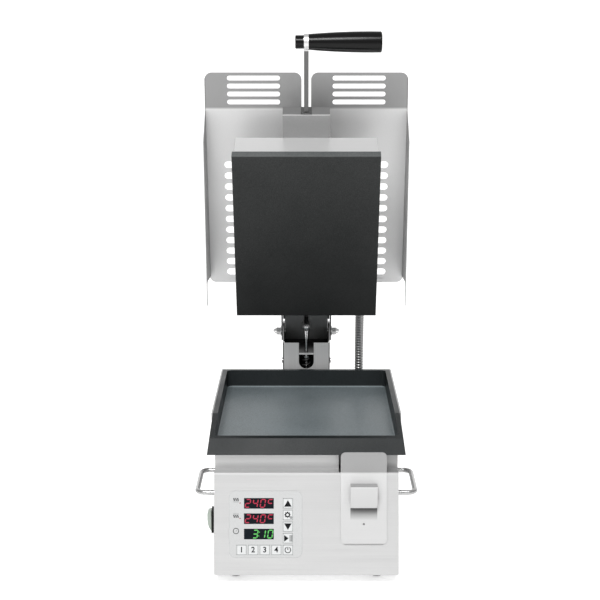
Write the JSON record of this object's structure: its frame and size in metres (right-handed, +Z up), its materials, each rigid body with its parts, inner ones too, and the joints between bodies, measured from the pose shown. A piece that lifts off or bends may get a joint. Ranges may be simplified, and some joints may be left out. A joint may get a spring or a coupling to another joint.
{
  "type": "contact grill",
  "caption": "Countertop contact grill with a deep lower pan, a sprung hinged upper plate on an arm, a tilting splash guard and a pull-out drip tray.",
  "frame": {"origin": "on the table, under the middle of the overall box at rest (lid open)", "axes": "+X to the user's right, +Y from the front panel to the rear, +Z up"},
  "size_m": [0.372, 0.625, 0.8774],
  "materials": {
    "steel": "fine brushed grain",
    "polished_steel": "bright",
    "black_enamel": "satin black enamel",
    "black_plastic": "gloss",
    "heater": "oxidised tube",
    "wool": "matted fibre",
    "rubber": "matt",
    "film": "satin",
    "key": "satin",
    "display_red": "gloss window",
    "display_green": "gloss window",
    "board": "solder mask",
    "switch_green": "gloss"
  },
  "bodies": {
    "base": {"side_panel_left": "steel", "side_panel_right": "steel", "rear_panel": "steel", "mains_gland": "black_plastic", "bottom_plate": "steel", "feet": "rubber", "top_deck": "steel", "front_panel": "steel", "keypad_film": "film", "display_timer": "display_green", "display_lower": "display_red", "display_upper": "display_red", "circuit_board": "board", "switch_box": "black_plastic", "carry_loop_left": "polished_steel", "carry_loop_right": "polished_steel", "tray_guide": "steel", "lower_pan": "black_enamel", "drain_spout": "steel", "pan_strips": "steel", "lower_element": "heater", "reflector": "steel", "hinge_post": "steel", "post_cover": "steel", "post_screws": "polished_steel", "rod_guide": "steel", "spring_cup": "steel", "lift_spring": "polished_steel", "conduit": "polished_steel", "conduit_collar_low": "polished_steel"},
    "lid": {"arm": "steel", "arm_cover": "steel", "upper_plate": "black_enamel", "lid_casing": "steel", "upper_element": "heater", "insulation": "wool", "handle_bar": "steel", "grip": "black_plastic", "grip_cap": "black_plastic", "grip_bolt": "polished_steel", "guard_bracket": "steel", "guard_pin": "polished_steel", "lug_pin": "polished_steel", "hinge_pin": "polished_steel", "hinge_nuts": "polished_steel", "conduit_collar_high": "polished_steel"},
    "guard": {"splash_guard": "steel"},
    "rod": {"lift_rod": "polished_steel"},
    "tray": {"tray_box": "steel", "tray_front": "steel"},
    "rocker": {"switch_rocker": "switch_green"},
    "button_power": {"key_power": "key"},
    "button_1": {"key_1": "key"},
    "button_2": {"key_2": "key"},
    "button_3": {"key_3": "key"},
    "button_4": {"key_4": "key"},
    "button_start": {"key_start": "key"},
    "button_down": {"key_down": "key"},
    "button_set": {"key_set": "key"},
    "button_up": {"key_up": "key"}
  },
  "joints": [
    {"name": "lid_hinge", "type": "hinge", "parent": "base", "child": "lid", "pos_m": [0, 0.222, 0.2973], "axis": [1, 0, 0], "range_deg": [0, 68], "deforming": ["conduit"]},
    {"name": "guard_hinge", "type": "hinge", "parent": "lid", "child": "guard", "pos_m": [0, 0.21256, 0.39595], "axis": [1, 0, 0], "range_deg": [0, 10]},
    {"name": "rod_lift", "type": "slide", "parent": "base", "child": "rod", "axis": [0, 0, 1], "range_m": [-0.034, 0], "deforming": ["lift_spring"]},
    {"name": "tray_slide", "type": "slide", "parent": "base", "child": "tray", "axis": [0, -1, 0], "range_m": [0, 0.2]},
    {"name": "switch_tilt", "type": "hinge", "parent": "base", "child": "rocker", "pos_m": [-0.15, -0.2505, 0.087], "axis": [0, -1, 0], "range_deg": [0, 14]},
    {"name": "press_power", "type": "slide", "parent": "base", "child": "button_power", "axis": [0, 0.9705, -0.2411], "range_m": [0, 0.0005], "stiffness_N_per_m": 400, "springref_m": -0.001},
    {"name": "press_1", "type": "slide", "parent": "base", "child": "button_1", "axis": [0, 0.9705, -0.2411], "range_m": [0, 0.0005], "stiffness_N_per_m": 400, "springref_m": -0.001},
    {"name": "press_2", "type": "slide", "parent": "base", "child": "button_2", "axis": [0, 0.9705, -0.2411], "range_m": [0, 0.0005], "stiffness_N_per_m": 400, "springref_m": -0.001},
    {"name": "press_3", "type": "slide", "parent": "base", "child": "button_3", "axis": [0, 0.9705, -0.2411], "range_m": [0, 0.0005], "stiffness_N_per_m": 400, "springref_m": -0.001},
    {"name": "press_4", "type": "slide", "parent": "base", "child": "button_4", "axis": [0, 0.9705, -0.2411], "range_m": [0, 0.0005], "stiffness_N_per_m": 400, "springref_m": -0.001},
    {"name": "press_start", "type": "slide", "parent": "base", "child": "button_start", "axis": [0, 0.9705, -0.2411], "range_m": [0, 0.0005], "stiffness_N_per_m": 400, "springref_m": -0.001},
    {"name": "press_down", "type": "slide", "parent": "base", "child": "button_down", "axis": [0, 0.9705, -0.2411], "range_m": [0, 0.0005], "stiffness_N_per_m": 400, "springref_m": -0.001},
    {"name": "press_set", "type": "slide", "parent": "base", "child": "button_set", "axis": [0, 0.9705, -0.2411], "range_m": [0, 0.0005], "stiffness_N_per_m": 400, "springref_m": -0.001},
    {"name": "press_up", "type": "slide", "parent": "base", "child": "button_up", "axis": [0, 0.9705, -0.2411], "range_m": [0, 0.0005], "stiffness_N_per_m": 400, "springref_m": -0.001}
  ],
  "couplings": [
    {"joint": "rod_lift", "follows": "lid_hinge", "m_per_rad": -0.028505}
  ]
}
